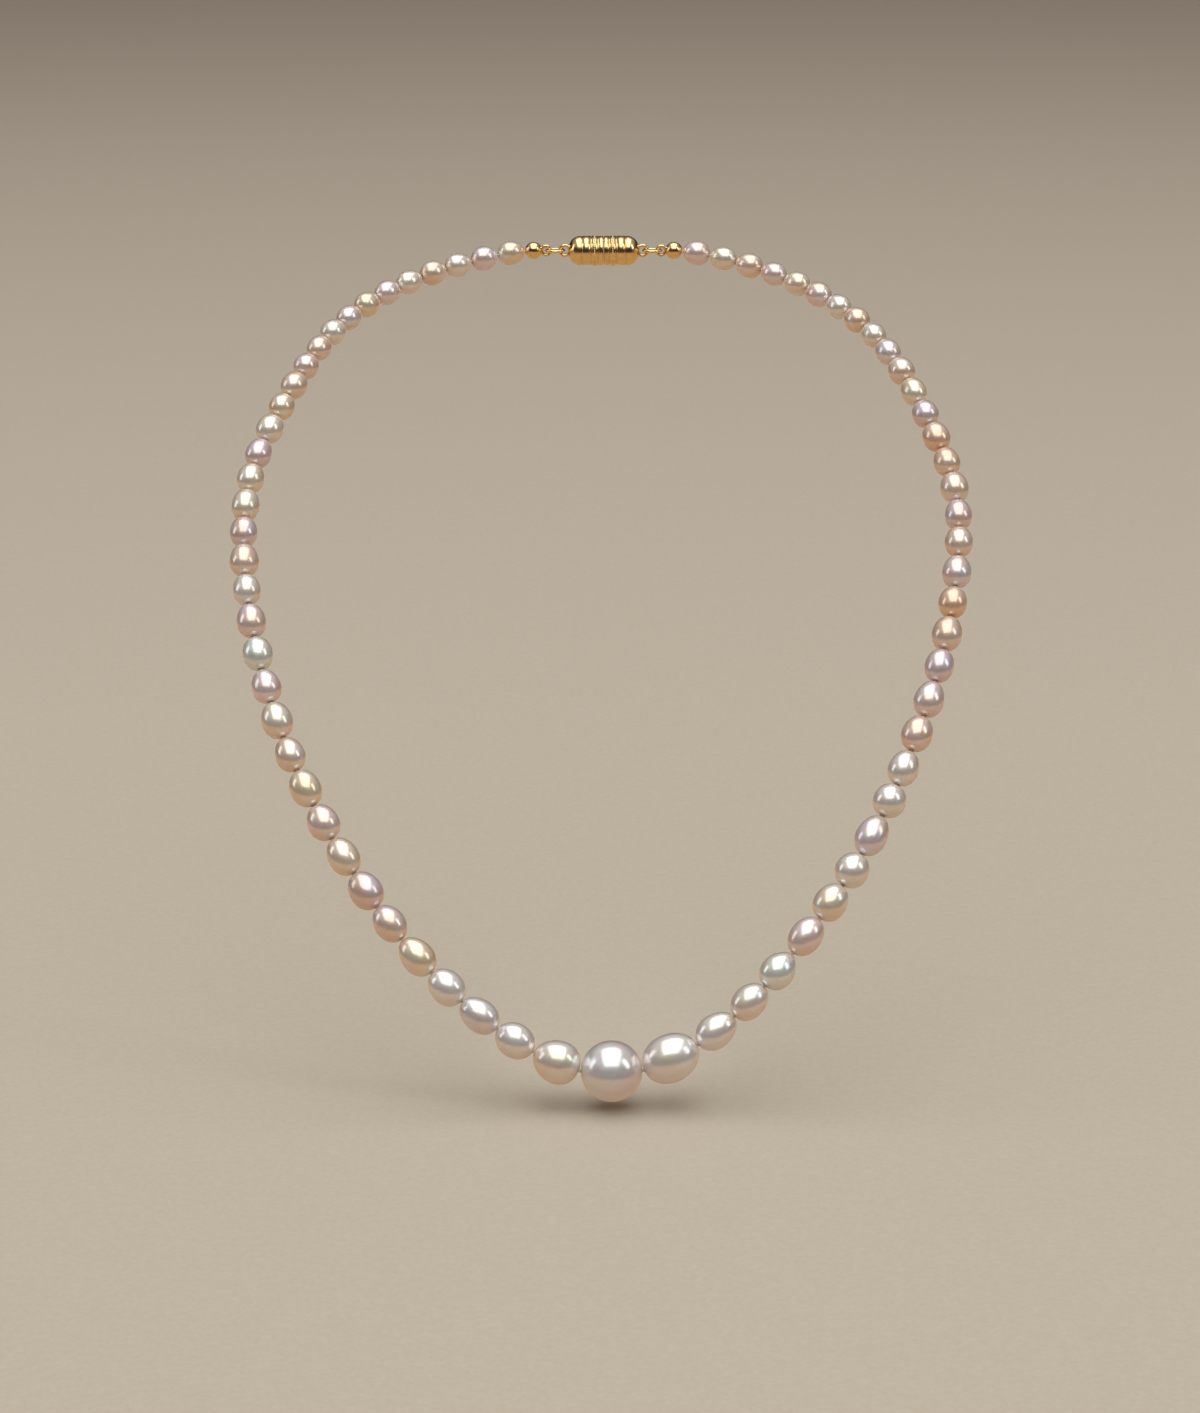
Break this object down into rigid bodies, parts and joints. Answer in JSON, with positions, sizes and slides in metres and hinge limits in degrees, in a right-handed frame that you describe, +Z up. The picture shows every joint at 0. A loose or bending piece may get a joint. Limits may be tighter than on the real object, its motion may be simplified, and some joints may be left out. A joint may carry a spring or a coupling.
{
  "type": "pearl necklace",
  "caption": "Graduated single strand of drilled pearls on silk thread, with a round centre pearl and a magnetic barrel clasp at the nape.",
  "frame": {"origin": "middle of the neck, level with the clasp at the nape", "axes": "+Z up, -Y to the front where the centre pearl lies, +X to the right seen from the front; the strand lies as it is worn"},
  "size_m": [0.1289, 0.1222, 0.1267],
  "materials": {
    "nacre_white": "pearl lustre, white with faint rose and green overtones",
    "nacre_cream": "pearl lustre, cream to pale gold",
    "nacre_peach": "pearl lustre, peach",
    "nacre_lavender": "pearl lustre, lavender pink with peach",
    "nacre_mixed": "pearl lustre, peach, cream and lavender pearls mixed",
    "silk_thread": "twisted silk, ivory",
    "gold_plate": "polished gold plate",
    "magnet_steel": "nickel plated magnet"
  },
  "bodies": {
    "neck_sides": {"pearls_neck_side_left": "nacre_mixed", "pearls_neck_side_right": "nacre_mixed", "thread_neck_sides": "silk_thread"},
    "front_upper": {"thread_front_upper": "silk_thread"},
    "front_middle": {"thread_front_middle": "silk_thread"},
    "front_lower": {"thread_front_lower": "silk_thread"},
    "nape_front_left": {"pearls_nape_front_left": "nacre_mixed", "thread_nape_front_left": "silk_thread"},
    "nape_back_left": {"pearls_nape_back_left": "nacre_mixed", "thread_nape_back_left": "silk_thread", "bead_tip_left": "gold_plate"},
    "nape_front_right": {"pearls_nape_front_right": "nacre_mixed", "thread_nape_front_right": "silk_thread"},
    "nape_back_right": {"pearls_nape_back_right": "nacre_mixed", "thread_nape_back_right": "silk_thread", "bead_tip_right": "gold_plate"},
    "jump_ring_left": {"jump_ring_left": "gold_plate"},
    "clasp_left": {"clasp_barrel_left": "gold_plate", "clasp_magnet_left": "magnet_steel"},
    "jump_ring_right": {"jump_ring_right": "gold_plate"},
    "clasp_right": {"clasp_barrel_right": "gold_plate", "clasp_magnet_right": "magnet_steel"},
    "pearl_centre": {"pearl_centre": "nacre_white"},
    "pearl_left_01": {"pearl_left_01": "nacre_white"},
    "pearl_right_01": {"pearl_right_01": "nacre_white"},
    "pearl_left_02": {"pearl_left_02": "nacre_white"},
    "pearl_right_02": {"pearl_right_02": "nacre_white"},
    "pearl_left_03": {"pearl_left_03": "nacre_white"},
    "pearl_right_03": {"pearl_right_03": "nacre_white"},
    "pearl_left_04": {"pearl_left_04": "nacre_white"},
    "pearl_right_04": {"pearl_right_04": "nacre_white"},
    "pearl_left_05": {"pearl_left_05": "nacre_cream"},
    "pearl_right_05": {"pearl_right_05": "nacre_lavender"},
    "pearl_left_06": {"pearl_left_06": "nacre_peach"},
    "pearl_right_06": {"pearl_right_06": "nacre_cream"},
    "pearl_left_07": {"pearl_left_07": "nacre_lavender"},
    "pearl_right_07": {"pearl_right_07": "nacre_cream"},
    "pearl_left_08": {"pearl_left_08": "nacre_cream"},
    "pearl_right_08": {"pearl_right_08": "nacre_peach"},
    "pearl_left_09": {"pearl_left_09": "nacre_lavender"},
    "pearl_right_09": {"pearl_right_09": "nacre_cream"},
    "pearl_left_10": {"pearl_left_10": "nacre_cream"},
    "pearl_right_10": {"pearl_right_10": "nacre_white"},
    "pearl_left_11": {"pearl_left_11": "nacre_peach"},
    "pearl_right_11": {"pearl_right_11": "nacre_peach"},
    "pearl_left_12": {"pearl_left_12": "nacre_cream"},
    "pearl_right_12": {"pearl_right_12": "nacre_lavender"},
    "pearl_left_13": {"pearl_left_13": "nacre_lavender"},
    "pearl_right_13": {"pearl_right_13": "nacre_lavender"},
    "pearl_left_14": {"pearl_left_14": "nacre_cream"},
    "pearl_right_14": {"pearl_right_14": "nacre_peach"},
    "pearl_left_15": {"pearl_left_15": "nacre_lavender"},
    "pearl_right_15": {"pearl_right_15": "nacre_peach"},
    "pearl_left_16": {"pearl_left_16": "nacre_cream"},
    "pearl_right_16": {"pearl_right_16": "nacre_lavender"},
    "pearl_left_17": {"pearl_left_17": "nacre_peach"},
    "pearl_right_17": {"pearl_right_17": "nacre_peach"},
    "pearl_left_18": {"pearl_left_18": "nacre_lavender"},
    "pearl_right_18": {"pearl_right_18": "nacre_lavender"}
  },
  "joints": [
    {"name": "front_upper_swing", "type": "hinge", "parent": "neck_sides", "child": "front_upper", "pos_m": [-0.0003, -0.02607, -0.04883], "axis": [-0.9996, -0.0194, -0.0205], "range_deg": [0, 20]},
    {"name": "front_middle_swing", "type": "hinge", "parent": "front_upper", "child": "front_middle", "pos_m": [-0.00001, -0.04489, -0.07265], "axis": [-0.9994, -0.0162, -0.0292], "range_deg": [0, 20]},
    {"name": "front_lower_swing", "type": "hinge", "parent": "front_middle", "child": "front_lower", "pos_m": [0.0011, -0.0594, -0.09736], "axis": [-0.9987, -0.0196, -0.0463], "range_deg": [0, 20]},
    {"name": "nape_front_left_open", "type": "hinge", "parent": "neck_sides", "child": "nape_front_left", "pos_m": [-0.0525, 0.01475, -0.01467], "axis": [0, 0, 1], "range_deg": [0, 25]},
    {"name": "nape_back_left_open", "type": "hinge", "parent": "nape_front_left", "child": "nape_back_left", "pos_m": [-0.03813, 0.03475, -0.00515], "axis": [0, 0, 1], "range_deg": [0, 25]},
    {"name": "nape_front_right_open", "type": "hinge", "parent": "neck_sides", "child": "nape_front_right", "pos_m": [0.05013, 0.01767, -0.01267], "axis": [0, 0, -1], "range_deg": [0, 25]},
    {"name": "nape_back_right_open", "type": "hinge", "parent": "nape_front_right", "child": "nape_back_right", "pos_m": [0.03779, 0.03356, -0.00528], "axis": [0, 0, -1], "range_deg": [0, 25]},
    {"name": "jump_ring_left_flip", "type": "hinge", "parent": "nape_back_left", "child": "jump_ring_left", "pos_m": [-0.00912, 0.046, 0], "axis": [1, 0, 0], "range_deg": [-25, 25]},
    {"name": "clasp_left_twist", "type": "hinge", "parent": "jump_ring_left", "child": "clasp_left", "pos_m": [-0.0073, 0.046, 0], "axis": [1, 0, 0], "range_deg": [-25, 25]},
    {"name": "jump_ring_right_flip", "type": "hinge", "parent": "nape_back_right", "child": "jump_ring_right", "pos_m": [0.00912, 0.046, 0], "axis": [1, 0, 0], "range_deg": [-25, 25]},
    {"name": "clasp_right_twist", "type": "hinge", "parent": "jump_ring_right", "child": "clasp_right", "pos_m": [0.0073, 0.046, 0], "axis": [1, 0, 0], "range_deg": [-25, 25]},
    {"name": "pearl_centre_spin", "type": "hinge", "parent": "front_lower", "child": "pearl_centre", "pos_m": [0.0012, -0.06841, -0.1189], "axis": [1, 0.0012, 0.0048], "continuous": true},
    {"name": "pearl_left_01_spin", "type": "hinge", "parent": "front_lower", "child": "pearl_left_01", "pos_m": [-0.00789, -0.06782, -0.11744], "axis": [-0.9227, 0.1444, 0.3575], "continuous": true},
    {"name": "pearl_right_01_spin", "type": "hinge", "parent": "front_lower", "child": "pearl_right_01", "pos_m": [0.01097, -0.06762, -0.11688], "axis": [0.9026, 0.1579, 0.4004], "continuous": true},
    {"name": "pearl_left_02_spin", "type": "hinge", "parent": "front_lower", "child": "pearl_left_02", "pos_m": [-0.01472, -0.06654, -0.11423], "axis": [-0.8499, 0.1918, 0.4908], "continuous": true},
    {"name": "pearl_right_02_spin", "type": "hinge", "parent": "front_lower", "child": "pearl_right_02", "pos_m": [0.01848, -0.06601, -0.11271], "axis": [0.7921, 0.2167, 0.5706], "continuous": true},
    {"name": "pearl_left_03_spin", "type": "hinge", "parent": "front_lower", "child": "pearl_left_03", "pos_m": [-0.02063, -0.06503, -0.11038], "axis": [-0.7881, 0.2264, 0.5724], "continuous": true},
    {"name": "pearl_right_03_spin", "type": "hinge", "parent": "front_lower", "child": "pearl_right_03", "pos_m": [0.02399, -0.06428, -0.10823], "axis": [0.7102, 0.2568, 0.6555], "continuous": true},
    {"name": "pearl_left_04_spin", "type": "hinge", "parent": "front_lower", "child": "pearl_left_04", "pos_m": [-0.02601, -0.06329, -0.10611], "axis": [-0.7263, 0.2664, 0.6336], "continuous": true},
    {"name": "pearl_right_04_spin", "type": "hinge", "parent": "front_lower", "child": "pearl_right_04", "pos_m": [0.02882, -0.06231, -0.10343], "axis": [0.6509, 0.2989, 0.6979], "continuous": true},
    {"name": "pearl_left_05_spin", "type": "hinge", "parent": "front_lower", "child": "pearl_left_05", "pos_m": [-0.03096, -0.06123, -0.10145], "axis": [-0.6685, 0.3116, 0.6753], "continuous": true},
    {"name": "pearl_right_05_spin", "type": "hinge", "parent": "front_lower", "child": "pearl_right_05", "pos_m": [0.03338, -0.05998, -0.09835], "axis": [0.6144, 0.3449, 0.7097], "continuous": true},
    {"name": "pearl_left_06_spin", "type": "hinge", "parent": "front_middle", "child": "pearl_left_06", "pos_m": [-0.03554, -0.05886, -0.09655], "axis": [-0.616, 0.3552, 0.7031], "continuous": true},
    {"name": "pearl_right_06_spin", "type": "hinge", "parent": "front_middle", "child": "pearl_right_06", "pos_m": [0.03759, -0.05741, -0.09332], "axis": [0.5773, 0.3864, 0.7193], "continuous": true},
    {"name": "pearl_left_07_spin", "type": "hinge", "parent": "front_middle", "child": "pearl_left_07", "pos_m": [-0.03961, -0.0563, -0.09166], "axis": [-0.5711, 0.3923, 0.7211], "continuous": true},
    {"name": "pearl_right_07_spin", "type": "hinge", "parent": "front_middle", "child": "pearl_right_07", "pos_m": [0.0412, -0.0548, -0.0886], "axis": [0.5327, 0.419, 0.7353], "continuous": true},
    {"name": "pearl_left_08_spin", "type": "hinge", "parent": "front_middle", "child": "pearl_left_08", "pos_m": [-0.04343, -0.05346, -0.08663], "axis": [-0.5315, 0.4257, 0.7323], "continuous": true},
    {"name": "pearl_right_08_spin", "type": "hinge", "parent": "front_middle", "child": "pearl_right_08", "pos_m": [0.04462, -0.05184, -0.08351], "axis": [0.4772, 0.4482, 0.7559], "continuous": true},
    {"name": "pearl_left_09_spin", "type": "hinge", "parent": "front_middle", "child": "pearl_left_09", "pos_m": [-0.04688, -0.0505, -0.08167], "axis": [-0.4919, 0.456, 0.7417], "continuous": true},
    {"name": "pearl_right_09_spin", "type": "hinge", "parent": "front_middle", "child": "pearl_right_09", "pos_m": [0.04766, -0.04876, -0.07843], "axis": [0.4278, 0.4767, 0.768], "continuous": true},
    {"name": "pearl_left_10_spin", "type": "hinge", "parent": "front_middle", "child": "pearl_left_10", "pos_m": [-0.04999, -0.04737, -0.07671], "axis": [-0.4457, 0.4847, 0.7526], "continuous": true},
    {"name": "pearl_right_10_spin", "type": "hinge", "parent": "front_middle", "child": "pearl_right_10", "pos_m": [0.0502, -0.04571, -0.07365], "axis": [0.3911, 0.5051, 0.7693], "continuous": true},
    {"name": "pearl_left_11_spin", "type": "hinge", "parent": "front_upper", "child": "pearl_left_11", "pos_m": [-0.05274, -0.04412, -0.07175], "axis": [-0.3933, 0.5115, 0.764], "continuous": true},
    {"name": "pearl_right_11_spin", "type": "hinge", "parent": "front_upper", "child": "pearl_right_11", "pos_m": [0.05265, -0.04229, -0.06864], "axis": [0.3586, 0.5373, 0.7633], "continuous": true},
    {"name": "pearl_left_12_spin", "type": "hinge", "parent": "front_upper", "child": "pearl_left_12", "pos_m": [-0.05512, -0.04069, -0.06676], "axis": [-0.3396, 0.5409, 0.7695], "continuous": true},
    {"name": "pearl_right_12_spin", "type": "hinge", "parent": "front_upper", "child": "pearl_right_12", "pos_m": [0.05489, -0.03864, -0.06363], "axis": [0.3209, 0.5716, 0.7552], "continuous": true},
    {"name": "pearl_left_13_spin", "type": "hinge", "parent": "front_upper", "child": "pearl_left_13", "pos_m": [-0.05715, -0.03709, -0.06181], "axis": [-0.2884, 0.5762, 0.7647], "continuous": true},
    {"name": "pearl_right_13_spin", "type": "hinge", "parent": "front_upper", "child": "pearl_right_13", "pos_m": [0.05681, -0.03488, -0.05884], "axis": [0.2769, 0.606, 0.7457], "continuous": true},
    {"name": "pearl_left_14_spin", "type": "hinge", "parent": "front_upper", "child": "pearl_left_14", "pos_m": [-0.0588, -0.03338, -0.05709], "axis": [-0.2408, 0.6158, 0.7502], "continuous": true},
    {"name": "pearl_right_14_spin", "type": "hinge", "parent": "front_upper", "child": "pearl_right_14", "pos_m": [0.05839, -0.03097, -0.0542], "axis": [0.2284, 0.6406, 0.7331], "continuous": true},
    {"name": "pearl_left_15_spin", "type": "hinge", "parent": "front_upper", "child": "pearl_left_15", "pos_m": [-0.06017, -0.02935, -0.05241], "axis": [-0.1937, 0.6567, 0.7288], "continuous": true},
    {"name": "pearl_right_15_spin", "type": "hinge", "parent": "front_upper", "child": "pearl_right_15", "pos_m": [0.05966, -0.02691, -0.04973], "axis": [0.1814, 0.6754, 0.7148], "continuous": true},
    {"name": "pearl_left_16_spin", "type": "hinge", "parent": "neck_sides", "child": "pearl_left_16", "pos_m": [-0.06123, -0.02518, -0.04798], "axis": [-0.1486, 0.6945, 0.704], "continuous": true},
    {"name": "pearl_right_16_spin", "type": "hinge", "parent": "neck_sides", "child": "pearl_right_16", "pos_m": [0.06063, -0.02263, -0.04539], "axis": [0.1366, 0.7107, 0.6902], "continuous": true},
    {"name": "pearl_left_17_spin", "type": "hinge", "parent": "neck_sides", "child": "pearl_left_17", "pos_m": [-0.06199, -0.02089, -0.04381], "axis": [-0.1032, 0.728, 0.6778], "continuous": true},
    {"name": "pearl_right_17_spin", "type": "hinge", "parent": "neck_sides", "child": "pearl_right_17", "pos_m": [0.06132, -0.01818, -0.04124], "axis": [0.0859, 0.7426, 0.6642], "continuous": true},
    {"name": "pearl_left_18_spin", "type": "hinge", "parent": "neck_sides", "child": "pearl_left_18", "pos_m": [-0.06243, -0.01653, -0.03987], "axis": [-0.0416, 0.7501, 0.66], "continuous": true},
    {"name": "pearl_right_18_spin", "type": "hinge", "parent": "neck_sides", "child": "pearl_right_18", "pos_m": [0.06159, -0.01376, -0.03737], "axis": [0.0038, 0.7596, 0.6504], "continuous": true}
  ]
}
